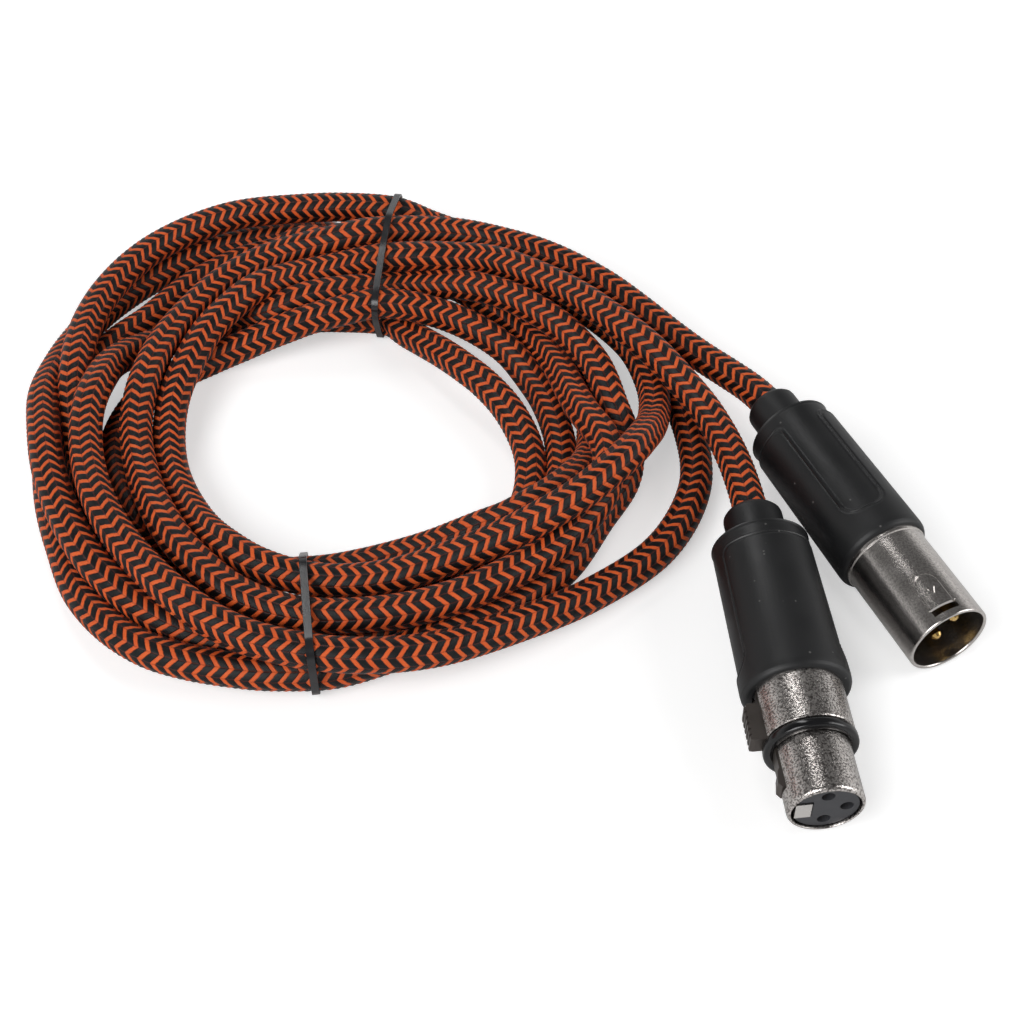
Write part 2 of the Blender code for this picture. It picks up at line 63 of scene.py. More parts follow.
# The turns, wound from the female end: (angle round the coil, radius, height of the cable's middle).
# Each one starts near the upper tie, at 85 degrees, and runs once round to it, so 445 is 85 again.
TURNS = (
    ((70, 51.5, 15), (85, 48.8, 14.5), (100, 47.8, 13.5), (115, 48.6, 12.5), (130, 49, 11.5), (145, 47.6, 11),
     (160, 46, 10), (175, 46.2, 8.5), (190, 46.8, 7), (205, 48, 6.5), (220, 49.7, 7), (235, 52.5, 8),
     (250, 55.3, 9), (265, 57.3, 9.5), (280, 57.5, 10), (295, 57.6, 11.5), (310, 60.3, 13.5),
     (322, 64, 15.5), (334, 67.3, 16), (346, 70.2, 13), (357, 72.6, 7), (368, 74, 4), (380, 73.6, 3.6),
     (395, 70.7, 3.6), (410, 69, 3.6), (425, 68.5, 3.6), (438, 68, 3.6)),
    ((85, 68.5, 3.6), (95, 71.5, 4), (105, 75, 5.5), (118, 77, 6.5), (130, 78.7, 6.5), (142, 80.5, 5.5),
     (152, 81.5, 4.5), (160, 80.8, 4), (168, 78.8, 4.2), (180, 76.4, 6.5), (190, 75.2, 9), (200, 75, 10),
     (212, 75.5, 10), (225, 77.1, 9.5), (240, 78.4, 8.5), (250, 76.5, 6), (260, 72.5, 3.6),
     (275, 68.5, 3.6), (290, 63.5, 3.6), (305, 59.5, 3.6), (320, 57, 3.6), (335, 54.3, 3.6),
     (345, 52.4, 3.6), (360, 48.5, 3.8), (375, 46.8, 3.8), (390, 44.5, 5), (405, 41.6, 7),
     (420, 39.8, 8), (435, 37.4, 9.5)),
    ((85, 35.6, 11), (100, 34.4, 10), (115, 35.5, 8.5), (128, 37.8, 6.5), (140, 40.8, 5), (150, 45, 4),
     (162, 51, 3.6), (175, 57, 3.6), (190, 60.5, 3.6), (205, 61, 3.6), (220, 60.5, 3.6),
     (235, 58.3, 3.6), (246, 55.5, 3.6), (256, 52, 3.6), (265, 50, 3.7), (273, 48.4, 3.8), (283, 47.4, 4.3),
     (293, 47.9, 5.5), (300, 49.6, 7.5), (307, 51.8, 9.5), (315, 54.3, 10),
     (330, 57.1, 9), (345, 58.2, 5), (360, 58.3, 4), (370, 59, 3.6), (380, 59, 3.6), (391, 58.8, 3.6),
     (403, 59.3, 3.6), (416, 60.5, 3.6),
     (428, 63, 3.6), (438, 65.5, 3.6)),
    ((85, 66, 3.6), (95, 68.5, 3.6), (105, 70.7, 3.6), (118, 72.2, 3.6), (130, 71.6, 3.6), (138, 70.5, 3.6),
     (147, 69.6, 3.6), (155, 71.5, 3.6), (164, 73.5, 3.6), (175, 74.5, 3.6), (188, 76, 3.6), (200, 76.9, 3.6),
     (212, 78.5, 3.6), (225, 82, 3.6), (240, 82.7, 3.6), (255, 80.2, 3.6), (262, 79, 3.6),
     (270, 77.5, 3.6), (280, 73.5, 3.6), (290, 70.5, 3.6), (300, 70.6, 3.6), (315, 69.7, 3.6),
     (330, 67.3, 3.6), (343, 68.3, 3.6), (352, 66.5, 4.5), (360, 62.8, 7.5), (368, 61.2, 9.5),
     (375, 59.9, 10), (390, 56.8, 10), (405, 54, 10), (420, 51.1, 9.5), (435, 47.6, 9.5)),
    ((85, 45.4, 9.5), (98, 42.5, 10.3), (112, 43, 9.5), (122, 45, 7), (132, 50, 5), (142, 55, 3.8),
     (150, 59, 4), (157, 62.5, 5.5), (168, 65, 9), (180, 65.1, 10.5), (195, 65.3, 10.2),
     (210, 66.2, 10.2), (225, 68, 10), (240, 71.4, 10), (255, 75.3, 9.8), (270, 77.5, 9.5),
     (285, 78, 8), (300, 77.5, 6), (315, 79.9, 4), (330, 84.3, 3.6), (345, 85.1, 3.6),
     (360, 81.4, 3.6), (371, 77.9, 3.6), (387, 74.7, 3.6), (407, 73.6, 3.6), (420, 74.6, 3.8),
     (430, 75, 5.5), (438, 73.8, 9)),
    ((85, 72.2, 13.6), (95, 73.5, 14), (105, 75.3, 14), (120, 80.7, 13), (135, 82.5, 11.5),
     (150, 79.6, 11), (165, 74.6, 11), (178, 71, 9.5), (190, 68.3, 6), (200, 66.9, 3.6),
     (215, 66, 3.6), (230, 65.5, 3.6), (245, 65, 3.6), (262, 64, 3.6), (275, 61.5, 3.6),
     (290, 58, 3.6), (305, 55.5, 3.6), (320, 53, 3.6), (332, 50, 3.6), (345, 43.5, 5), (360, 37.1, 7),
     (375, 32.3, 8), (390, 29.5, 8), (405, 29.2, 7), (420, 30.5, 6), (432, 33.5, 5), (442, 37.5, 4)),
)

# The one turn wound from the male end, which meets the others in a fold just past the upper tie.
MALE_TURN = (
    (70, 66, 13.5), (85, 61.5, 14), (100, 59, 13), (115, 59.5, 12), (130, 58, 12), (145, 55.5, 12),
    (160, 54, 12.5), (175, 53.5, 12.5), (190, 54.2, 10.5), (205, 55, 9.5), (220, 57, 9.5), (235, 60.5, 9.5),
    (250, 65, 9.5), (262, 67, 9.5), (275, 67.2, 9.5), (290, 67.2, 9.5), (305, 66.7, 9.8), (320, 67, 10),
    (332, 66.5, 9.5), (341, 64, 8), (350, 60.5, 5.5), (360, 56, 4), (372, 53, 3.6), (385, 52.3, 3.6),
    (400, 53, 3.6), (415, 54.3, 3.6), (428, 56.5, 3.6), (438, 58.5, 3.6), (445, 60.5, 3.6), (454, 64.5, 3.6),
)
FOLD = (104.0, 55.8, 15.6, 3.6)    # angle and radius of the fold's middle, its own radius, its height

ROUTE_STEP = 1.65          # spacing of the points while the turns settle
SETTLE_ROUNDS = 300
SIDE_HOLD = 0.9            # the share of a sideways shift that a turn keeps each round
DEPTH_HOLD = 0.999         # the same for a shift towards or away from the front
SIGHT = np.array([0.0, cos(radians(LOOK_DOWN)), -sin(radians(LOOK_DOWN))])    # the way the camera looks
WATCHED = 4.5              # stretches that start this near, jacket to jacket, are kept from pressing in
ALONG = 2.6                # unless they are nearer than this many diameters along the cable
HELD_ENDS = 18.0           # this much cable at each connector stays where it is

# ---------------------------------------------------------------- the woven jacket, in mm
JACKET_R = 4.07
BAND = 3.0                 # one orange band and one black band along the cable
RINGS = 4                  # rings of the mesh in one such band
ZIGZAGS = 5                # zigzags round the cable
ZIGZAG_REACH = 1.9         # how far a zigzag runs along the cable
BAND_SINK = 0.16           # the valley between two bands
TIP_SINK = 0.07            # the tips, where a yarn dives under the next one
END_ROUND = 0.1            # how much thinner the jacket is at its two cut ends
SIDES = 20

# ---------------------------------------------------------------- connectors, in mm and degrees
MALE_PLACE = ((103.8, -55.8, 10.55), -66.3, 1.2, 10.0)
FEMALE_PLACE = ((71.8, -98.2, 10.37), -84.6, 1.5, 92.0)
NECK_BACK = -77.8          # the back of a boot's neck
SHELL_BACK = -40.0         # the back of a shell, inside its boot
BOOT_R = 10.8              # about the middle of the boot's slight taper
LABEL_CHANNEL = (-63.2, 30.0, 5.05, 3.6)    # middle, half length, half width and corner
BACK_BAND = -64.2          # where the low band at a boot's back ends
BARREL_R = 9.5
BARREL_BORE = 8.6
SLOT_HALF = 3.0            # half the width of the latch slot and of the tongue behind it
TONGUE_BACK = -9.4         # where the tongue's round back starts


# ================================================================ camera, light and table
def make_camera():
    lens = bpy.data.cameras.new("camera")
    lens.lens = 56.0
    lens.sensor_width = 36.0
    lens.clip_start = 0.01
    camera = bpy.data.objects.new("camera", lens)
    bpy.context.scene.collection.objects.link(camera)
    target = Vector((9.5, -8.9, 0.0)) * MM
    down = radians(LOOK_DOWN)
    distance = 383.0 * MM
    camera.location = target + Vector((0.0, -distance * cos(down), distance * sin(down)))
    camera.rotation_euler = (pi / 2 - down, 0.0, 0.0)
    bpy.context.scene.camera = camera


def area_light(name, place, aim, size, power):
    data = bpy.data.lights.new(name, "AREA")
    data.shape = "RECTANGLE"
    data.size, data.size_y = size
    data.energy = power
    light = bpy.data.objects.new(name, data)
    bpy.context.scene.collection.objects.link(light)
    light.location = place
    light.rotation_euler = (Vector(aim) - Vector(place)).to_track_quat("-Z", "Y").to_euler()


def make_studio():
    world = bpy.data.worlds.new("studio")
    bpy.context.scene.world = world
    world.use_nodes = True
    sky = world.node_tree.nodes["Background"]
    sky.inputs["Color"].default_value = (1.0, 1.0, 1.0, 1.0)
    graph = Graph(world.node_tree)
    facing = graph.node("ShaderNodeTexCoord").outputs["Generated"]
    height = graph.node("ShaderNodeSeparateXYZ", {"Vector": facing}).outputs["Z"]
    graph.feed(sky.inputs["Strength"], graph.ramp(height, 0.1, 0.6, 0.75, 0.12))
    area_light("front_left", (-0.5, -0.6, 0.75), (0.0, 0.0, 0.0), (0.7, 0.6), 7.5)
    area_light("right_side", (0.85, -0.05, 0.5), (0.0, 0.0, 0.0), (0.5, 0.6), 3.5)
    area_light("back_strip", (-0.22, 0.5, 0.62), (0.05, -0.05, 0.0), (0.16, 0.4), 1.0)
    bpy.context.scene.view_settings.view_transform = "Standard"


def make_table():
    mesh = bpy.data.meshes.new("table")
    half = 3.0
    corners = [(-half, -half, 0), (half, -half, 0), (half, half, 0), (-half, half, 0)]
    mesh.from_pydata(corners, [], [(0, 1, 2, 3)])
    table = bpy.data.objects.new("table", mesh)
    bpy.context.scene.collection.objects.link(table)
    mesh.materials.append(table_top())


# ================================================================ material helpers
class Graph:
    """Adds nodes to a tree; an input is given as a value or as another node's output."""

    def __init__(self, tree):
        self.tree = tree

    def node(self, kind, inputs=None, **settings):
        made = self.tree.nodes.new(kind)
        for name, value in settings.items():
            setattr(made, name, value)
        for name, value in (inputs or {}).items():
            self.feed(made.inputs[name], value)
        return made

    def feed(self, socket, value):
        if isinstance(value, bpy.types.NodeSocket):
            self.tree.links.new(value, socket)
        else:
            socket.default_value = value

    def math(self, operation, *values):
        made = self.tree.nodes.new("ShaderNodeMath")
        made.operation = operation
        for socket, value in zip(made.inputs, values):
            self.feed(socket, value)
        return made.outputs[0]

    def ramp(self, value, low, high, to_low=0.0, to_high=1.0, smooth=True):
        made = self.node("ShaderNodeMapRange", {
            "Value": value, "From Min": low, "From Max": high, "To Min": to_low, "To Max": to_high})
        made.interpolation_type = "SMOOTHSTEP" if smooth else "LINEAR"
        return made.outputs["Result"]

    def mix(self, share, first, second):
        made = self.tree.nodes.new("ShaderNodeMix")
        made.data_type = "RGBA"
        self.feed(made.inputs[0], share)
        self.feed(made.inputs[6], first)
        self.feed(made.inputs[7], second)
        return made.outputs[2]

    def noise(self, vector, scale, detail=2.0, roughness=0.5):
        made = self.node("ShaderNodeTexNoise", {
            "Vector": vector, "Scale": scale, "Detail": detail, "Roughness": roughness})
        return made.outputs["Fac"]

    def bump(self, height, distance, strength):
        return self.node("ShaderNodeBump", {
            "Height": height, "Distance": distance, "Strength": strength}).outputs["Normal"]


def new_group(name, inputs, outputs):
    """A node group with named sockets; each is (name, kind, default)."""
    tree = bpy.data.node_groups.new(name, "ShaderNodeTree")
    for label, kind, default in inputs:
        socket = tree.interface.new_socket(label, in_out="INPUT", socket_type=kind)
        if default is not None:
            socket.default_value = default
    for label, kind in outputs:
        tree.interface.new_socket(label, in_out="OUTPUT", socket_type=kind)
    return tree, Graph(tree)


def surface_grain_group():
    """Fine grain, broad patches and small specks, for moulded and plated surfaces alike."""
    tree, graph = new_group(
        "surface grain",
        (("Fine Scale", "NodeSocketFloat", 2500.0), ("Broad Scale", "NodeSocketFloat", 90.0),
         ("Speck Scale", "NodeSocketFloat", 1200.0), ("Speck Share", "NodeSocketFloat", 0.1)),
        (("Grain", "NodeSocketFloat"), ("Patches", "NodeSocketFloat"), ("Specks", "NodeSocketFloat")))
    given = graph.node("NodeGroupInput").outputs
    where = graph.node("ShaderNodeTexCoord").outputs["Object"]
    fine = graph.noise(where, given["Fine Scale"], 3.0, 0.6)
    broad = graph.noise(where, given["Broad Scale"], 2.0, 0.5)
    cells = graph.node("ShaderNodeTexVoronoi", {"Vector": where, "Scale": given["Speck Scale"]})
    luck = graph.node("ShaderNodeSeparateColor", {"Color": cells.outputs["Color"]}).outputs["Red"]
    near = graph.ramp(cells.outputs["Distance"], 0.25, 0.5, 1.0, 0.0)
    lucky = graph.math("LESS_THAN", luck, given["Speck Share"])
    specks = graph.math("MULTIPLY", near, lucky)
    graph.node("NodeGroupOutput", {"Grain": fine, "Patches": broad, "Specks": specks})
    return tree


def new_material(name):
    material = bpy.data.materials.new(name)
    material.use_nodes = True
    tree = material.node_tree
    return material, Graph(tree), tree.nodes["Principled BSDF"]


def grain(graph, **values):
    made = graph.node("ShaderNodeGroup", node_tree=GRAIN)
    for name, value in values.items():
        made.inputs[name.replace("_", " ").title()].default_value = value
    return made.outputs


def table_top():
    """A plain pale table. It shows a little brighter than the light that it throws back."""
    material, graph, shader = new_material("table top")
    shader.inputs["Base Color"].default_value = (0.72, 0.72, 0.72, 1.0)
    shader.inputs["Roughness"].default_value = 0.9
    shader.inputs["Specular IOR Level"].default_value = 0.1
    seen = graph.node("ShaderNodeLightPath").outputs["Is Camera Ray"]
    shader.inputs["Emission Color"].default_value = (1.0, 1.0, 1.0, 1.0)
    graph.feed(shader.inputs["Emission Strength"], graph.math("MULTIPLY", seen, 0.5))
    return material


def woven_jacket():
    """Orange and black yarns in zigzags. V counts bands along the cable, U counts zigzags round it."""
    material, graph, shader = new_material("woven jacket")
    lay = graph.node("ShaderNodeUVMap", uv_map="lay").outputs["UV"]
    split = graph.node("ShaderNodeSeparateXYZ", {"Vector": lay}).outputs
    around, along = split["X"], split["Y"]
    where = graph.node("ShaderNodeTexCoord").outputs["Object"]
    fray = graph.math("MULTIPLY_ADD", graph.noise(where, 1500.0, 2.0), 0.10, -0.05)
    band = graph.math("FRACT", graph.math("ADD", along, fray))
    from_black = graph.math("ABSOLUTE", graph.math("SUBTRACT", band, 0.5))
    orange = graph.ramp(from_black, 0.290, 0.318)
    edge = graph.math("ABSOLUTE", graph.math("SUBTRACT", from_black, 0.304))
    valley = graph.ramp(edge, 0.0, 0.07, 1.0, 0.0)
    # Tips: the yarns cross where a zigzag turns.
    leg = graph.math("FRACT", graph.math("MULTIPLY", around, 2.0))
    tip = graph.math("ABSOLUTE", graph.math("SUBTRACT", leg, 0.5))
    tucked = graph.ramp(tip, 0.40, 0.5)
    # Single threads inside a yarn, a little uneven.
    drift = graph.math("MULTIPLY", graph.noise(where, 500.0, 1.0), 0.10)
    thread_count = graph.math("MULTIPLY", graph.math("ADD", along, drift), 2 * pi * 8.0)
    threads = graph.math("MULTIPLY_ADD", graph.math("SINE", thread_count), 0.5, 0.5)
    tone = graph.noise(where, 260.0, 2.0)
    bright = graph.mix(tone, (0.66, 0.082, 0.014, 1.0), (0.86, 0.155, 0.030, 1.0))
    dark = graph.mix(tone, (0.0016, 0.0016, 0.002, 1.0), (0.0045, 0.0045, 0.0052, 1.0))
    yarn = graph.mix(orange, dark, bright)
    # Painted shade: the valley between two bands is darkened towards a near-black brown, where shade falls
    # between the bands.
    valley_shaded_colour = graph.mix(graph.math("MULTIPLY", valley, 0.55), yarn, (0.02, 0.006, 0.004, 1.0))
    # Painted shade: the zigzag tips, where a yarn dives under the next one, are darkened towards the shaded
    # red-brown of the orange.
    tip_shaded_colour = graph.mix(graph.math("MULTIPLY", tucked, 0.35), valley_shaded_colour, (0.16, 0.018, 0.006, 1.0))
    # Painted shade: the grooves between single threads are darkened a little towards black.
    thread_shaded_colour = graph.mix(graph.math("MULTIPLY", threads, 0.13), tip_shaded_colour, (0.0, 0.0, 0.0, 1.0))
    graph.feed(shader.inputs["Base Color"], thread_shaded_colour)
    graph.feed(shader.inputs["Roughness"], graph.ramp(orange, 0.0, 1.0, 0.42, 0.52, False))
    shader.inputs["Specular IOR Level"].default_value = 0.3
    shader.inputs["Sheen Weight"].default_value = 0.06
    shader.inputs["Sheen Roughness"].default_value = 0.35
    height = graph.math("MULTIPLY_ADD", threads, -0.35, 1.0)
    height = graph.math("MULTIPLY_ADD", valley, -1.0, height)
    height = graph.math("MULTIPLY_ADD", tucked, -0.6, height)
    graph.feed(shader.inputs["Normal"], graph.bump(height, 0.00012, 0.9))
    return material


def boot_rubber():
    """Soft black moulded plastic: fine matt grain, faint rubbed patches, a few specks of dust."""
    material, graph, shader = new_material("boot rubber")
    found = grain(graph, fine_scale=3800.0, broad_scale=70.0, speck_scale=1500.0, speck_share=0.006)
    base = graph.mix(found["Patches"], (0.0042, 0.0044, 0.0050, 1.0), (0.0070, 0.0072, 0.0080, 1.0))
    dusted = graph.mix(graph.math("MULTIPLY", found["Specks"], 0.25), base, (0.35, 0.34, 0.33, 1.0))
    graph.feed(shader.inputs["Base Color"], dusted)
    graph.feed(shader.inputs["Roughness"], graph.ramp(found["Patches"], 0.3, 0.7, 0.40, 0.52))
    graph.feed(shader.inputs["Normal"], graph.bump(found["Grain"], 0.00003, 0.55))
    return material


def plated_nickel(name, grain_size, depth, roughness, speckle):
    """Satin nickel plate over a blasted casting, with painted shade in its small pits and painted glints on
    small bright flecks; speckle is how dark the painted shade in the pits is, and half of it is how strong
    the painted glints are.
    """
    material, graph, shader = new_material(name)
    found = grain(graph, fine_scale=grain_size, broad_scale=120.0, speck_scale=grain_size * 0.8,
                  speck_share=0.3)
    shader.inputs["Metallic"].default_value = 1.0
    tint = graph.mix(found["Patches"], (0.66, 0.62, 0.59, 1.0), (0.72, 0.68, 0.65, 1.0))
    # Painted shade: the low points of the grain, the pits, are darkened towards a dark brown-grey.
    pit_shade = graph.math("MULTIPLY", graph.ramp(found["Grain"], 0.40, 0.56, 1.0, 0.0), speckle)
    pit_shaded_tint = graph.mix(pit_shade, tint, (0.10, 0.085, 0.08, 1.0))
    # Painted glints: small random flecks are made brighter to stand in for the sparkle of the blasted plate.
    glint_flecks = graph.math("MULTIPLY", found["Specks"], speckle * 0.5)
    graph.feed(shader.inputs["Base Color"], graph.mix(glint_flecks, pit_shaded_tint, (0.9, 0.87, 0.85, 1.0)))
    worn = graph.ramp(found["Patches"], 0.3, 0.7, roughness - 0.03, roughness + 0.04)
    graph.feed(shader.inputs["Roughness"], worn)
    graph.feed(shader.inputs["Normal"], graph.bump(found["Grain"], depth, 0.8))
    return material


def plain_finish(name, dark, light, roughness, metallic=0.0):
    """A moulded or metal finish whose colour and roughness drift a little over the surface."""
    material, graph, shader = new_material(name)
    found = grain(graph, fine_scale=2600.0, broad_scale=160.0)
    shader.inputs["Metallic"].default_value = metallic
    base = graph.mix(found["Patches"], (*dark, 1.0), (*light, 1.0))
    graph.feed(shader.inputs["Base Color"], base)
    worn = graph.ramp(found["Patches"], 0.3, 0.7, roughness - 0.05, roughness + 0.05)
    graph.feed(shader.inputs["Roughness"], worn)
    graph.feed(shader.inputs["Normal"], graph.bump(found["Grain"], 0.00002, 0.5))
    return material


# ================================================================ mesh helpers
def link_piece(name, mesh, material, replaces):
    """Puts a finished mesh in the scene as a piece of the cable, in place of the named parts."""
    piece = bpy.data.objects.new(name, mesh)
    bpy.context.scene.collection.objects.link(piece)
    mesh.materials.clear()
    mesh.materials.append(material)
    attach(piece, "cable")
    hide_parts(*replaces)
    return piece


def connector_matrix(place):
    """The frame of a connector: +X is the way it plugs in, +Z its latch side, x = 0 its front rim."""
    centre, heading, tilt, roll = place
    turn = Matrix.Rotation(radians(heading), 4, "Z") @ Matrix.Rotation(radians(tilt), 4, "Y")
    return Matrix.Translation([c * MM for c in centre]) @ turn @ Matrix.Rotation(radians(roll), 4, "X")


MALE = connector_matrix(MALE_PLACE)
FEMALE = connector_matrix(FEMALE_PLACE)


# ================================================================ the cable
def on_coil(angle, radius, height):
    x = COIL_CENTRE[0] + radius * cos(radians(angle))
    y = COIL_CENTRE[1] + radius * sin(radians(angle))
    return (x, y, height)


def neck_point(place, back):
    """A point on a connector's axis, in mm, this far behind its front rim."""
    return tuple((place @ Vector((back * MM, 0.0, 0.0))) / MM)


def fold_points():
    """The half circle in which the cable turns back on itself."""
    angle, radius, bend, height = FOLD
    middle = Vector(on_coil(angle, radius, height))
    out = Vector((cos(radians(angle)), sin(radians(angle)), 0.0))
    onward = Vector((-out.y, out.x, 0.0))
    points = []
    for step in range(7):
        turn = pi * step / 6
        points.append(tuple(middle + bend * (cos(turn) * out + sin(turn) * onward)))
    return points


def coil_points():
    """The turns one after another, from the male end to the female end."""
    wound = []
    for turn in TURNS:
        wound.extend(on_coil(*stop) for stop in turn)
    from_male = [on_coil(*stop) for stop in MALE_TURN]
    return from_male + fold_points() + wound[::-1]


def smooth_line(points, step):
    """Points at an even spacing along a smooth curve through the given ones."""
    pts = np.array(points, float)
    pts = np.vstack([2 * pts[0] - pts[1], pts, 2 * pts[-1] - pts[-2]])
    fine = []
    for a, b, c, d in zip(pts, pts[1:], pts[2:], pts[3:]):
        # Centripetal spacing keeps the curve from swinging out where the points are uneven.
        t1 = max(np.linalg.norm(b - a), 1e-6) ** 0.5
        t2 = t1 + max(np.linalg.norm(c - b), 1e-6) ** 0.5
        t3 = t2 + max(np.linalg.norm(d - c), 1e-6) ** 0.5
        for t in np.linspace(t1, t2, 16, endpoint=False):
            a1 = (t1 - t) / t1 * a + t / t1 * b
            a2 = (t2 - t) / (t2 - t1) * b + (t - t1) / (t2 - t1) * c
            a3 = (t3 - t) / (t3 - t2) * c + (t - t2) / (t3 - t2) * d
            b1 = (t2 - t) / t2 * a1 + t / t2 * a2
            b2 = (t3 - t) / (t3 - t1) * a2 + (t - t1) / (t3 - t1) * a3
            fine.append((t2 - t) / (t2 - t1) * b1 + (t - t1) / (t2 - t1) * b2)
    fine.append(pts[-2])
    return evenly(np.array(fine), step)


def evenly(line, step):
    travelled = np.concatenate([[0.0], np.cumsum(np.linalg.norm(np.diff(line, axis=0), axis=1))])
    count = max(2, int(round(travelled[-1] / step)) + 1)
    marks = np.linspace(0.0, travelled[-1], count)
    return np.stack([np.interp(marks, travelled, line[:, k]) for k in range(3)], 1)


def touching_pairs(line, reach, apart):
    """Every pair of points that are close together but not close along the cable."""
    pairs = []
    for i in range(len(line) - apart):
        gap = np.linalg.norm(line[i + apart:] - line[i], axis=1)
        near = np.nonzero(gap < reach)[0] + i + apart
        pairs.append(np.stack([np.full(len(near), i), near], 1))
    return np.concatenate(pairs)


def softened(values, rounds):
    out = values.copy()
    for _ in range(rounds):
        out[1:-1] = 0.5 * out[1:-1] + 0.25 * (out[:-2] + out[2:])
    return out


def settle(line):
    """Lets turns that press into each other push apart, and the table hold the lowest ones up."""
    step = float(np.linalg.norm(line[1] - line[0]))
    pairs = touching_pairs(line, CORD_D + WATCHED, int(ceil(ALONG * CORD_D / step)))
    first, second = pairs[:, 0], pairs[:, 1]
    travelled = np.arange(len(line)) * step
    from_end = np.minimum(travelled, travelled[-1] - travelled)
    free = np.clip((from_end - HELD_ENDS) / HELD_ENDS, 0.0, 1.0)[:, None]
    moved = np.zeros_like(line)
    for _ in range(SETTLE_ROUNDS):
        now = line + moved
        gap = now[second] - now[first]
        size = np.maximum(np.linalg.norm(gap, axis=1), 1e-6)
        short = np.maximum(SPACING - size, 0.0)
        push = gap * (0.5 * short / size)[:, None]
        total = np.zeros_like(line)
        count = np.zeros(len(line))
        np.add.at(total, first, -push)
        np.add.at(total, second, push)
        np.add.at(count, first, short > 0)
        np.add.at(count, second, short > 0)
        moved += total / np.maximum(count, 1.0)[:, None]
        moved = softened(moved, 2)
        # A turn slides freely towards or away from the front, and only a little sideways.
        depth = (moved @ SIGHT)[:, None] * SIGHT
        moved = depth * DEPTH_HOLD + (moved - depth) * SIDE_HOLD
        low = np.maximum(CORD_D / 2 + TABLE_GAP - line[:, 2] - moved[:, 2], 0.0)
        moved += (low / SIGHT[2])[:, None] * SIGHT
        moved *= free
    return line + moved


def carried_frames(line):
    """A tangent and two normals at each point, carried along without twist."""
    tangent = np.gradient(line, axis=0)
    tangent /= np.linalg.norm(tangent, axis=1)[:, None]
    side = np.zeros_like(line)
    side[0] = np.cross(tangent[0], (0.0, 0.0, 1.0))
    side[0] /= np.linalg.norm(side[0])
    for i in range(1, len(line)):
        carried = side[i - 1] - tangent[i] * (side[i - 1] @ tangent[i])
        side[i] = carried / np.linalg.norm(carried)
    return tangent, side, np.cross(tangent, side)


def jacket_mesh(line):
    """The woven tube. Its rings are zigzags that follow the bands, so each band stands proud."""
    rings = evenly(line, BAND / RINGS)
    tangent, side, up = carried_frames(rings)
    turn = 2 * pi * np.arange(SIDES) / SIDES
    leg = (np.arange(SIDES) * ZIGZAGS * 2 / SIDES) % 2
    zigzag = 1.0 - np.abs(1.0 - leg)
    ring_number = np.arange(len(rings))
    sink = np.where(ring_number % 2 == 1, BAND_SINK, 0.0)
    tips = np.where(np.isclose(zigzag, 0.0) | np.isclose(zigzag, 1.0), TIP_SINK, 0.0)
    radius = JACKET_R - sink[:, None] - tips[None, :]
    # The two end rings are a little smaller and don't zigzag, so that the ends are flat.
    radius[0] -= END_ROUND
    radius[-1] -= END_ROUND
    lean = np.ones(len(rings))
    lean[0] = lean[-1] = 0.0
    places = rings[:, None, :] + (side[:, None, :] * np.cos(turn)[None, :, None]
                                  + up[:, None, :] * np.sin(turn)[None, :, None]) * radius[:, :, None]
    places += tangent[:, None, :] * ((zigzag - 0.5)[None, :, None] * ZIGZAG_REACH * lean[:, None, None])
    vertices = list(map(tuple, (places.reshape(-1, 3) * MM)))
    start, end = len(vertices), len(vertices) + 1
    vertices += [tuple(rings[0] * MM), tuple(rings[-1] * MM)]
    faces, uvs = [], []
    for i in range(len(rings) - 1):
        for j in range(SIDES):
            k = (j + 1) % SIDES
            faces.append((i * SIDES + j, i * SIDES + k, (i + 1) * SIDES + k, (i + 1) * SIDES + j))
            u, v = j * ZIGZAGS / SIDES, (j + 1) * ZIGZAGS / SIDES
            uvs += [(u, i / RINGS), (v, i / RINGS), (v, (i + 1) / RINGS), (u, (i + 1) / RINGS)]
    last = (len(rings) - 1) * SIDES
    for j in range(SIDES):
        k = (j + 1) % SIDES
        faces.append((start, k, j))
        faces.append((end, last + j, last + k))
        uvs += [(0.5, 0.5)] * 6
    mesh = bpy.data.meshes.new("woven_cable")
    mesh.from_pydata(vertices, [], faces)
    mesh.uv_layers.new(name="lay").data.foreach_set("uv", np.array(uvs, np.float32).ravel())
    mesh.shade_smooth()
    return mesh, rings


def cable_line():
    male_neck = neck_point(MALE, NECK_BACK + 3.0)
    female_neck = neck_point(FEMALE, NECK_BACK + 3.0)
    route = [male_neck, *TAIL_MALE, *coil_points(), *TAIL_FEMALE[::-1], female_neck]
    return settle(smooth_line(route, ROUTE_STEP))


def make_cable():
    line = cable_line()
    mesh, rings = jacket_mesh(line)
    cable = link_piece("woven_cable", mesh, woven_jacket(),
                       replaces=("cable_coil", "cable_tail_male", "cable_tail_female"))
    length = float(np.linalg.norm(np.diff(rings, axis=0), axis=1).sum()) * MM
    return cable, line, length


# ================================================================ connectors
def spread(start, end, step):
    """Even stops from start to end, both included, about this far apart."""
    count = max(1, int(round(abs(end - start) / step)))
    return [start + (end - start) * k / count for k in range(count + 1)]


def stops(*runs):
    """Joins runs of (start, end, step) into one rising list without repeats."""
    joined = []
    for start, end, step in runs:
        joined.extend(x for x in spread(start, end, step) if not joined or x > joined[-1] + 1e-6)
    return joined


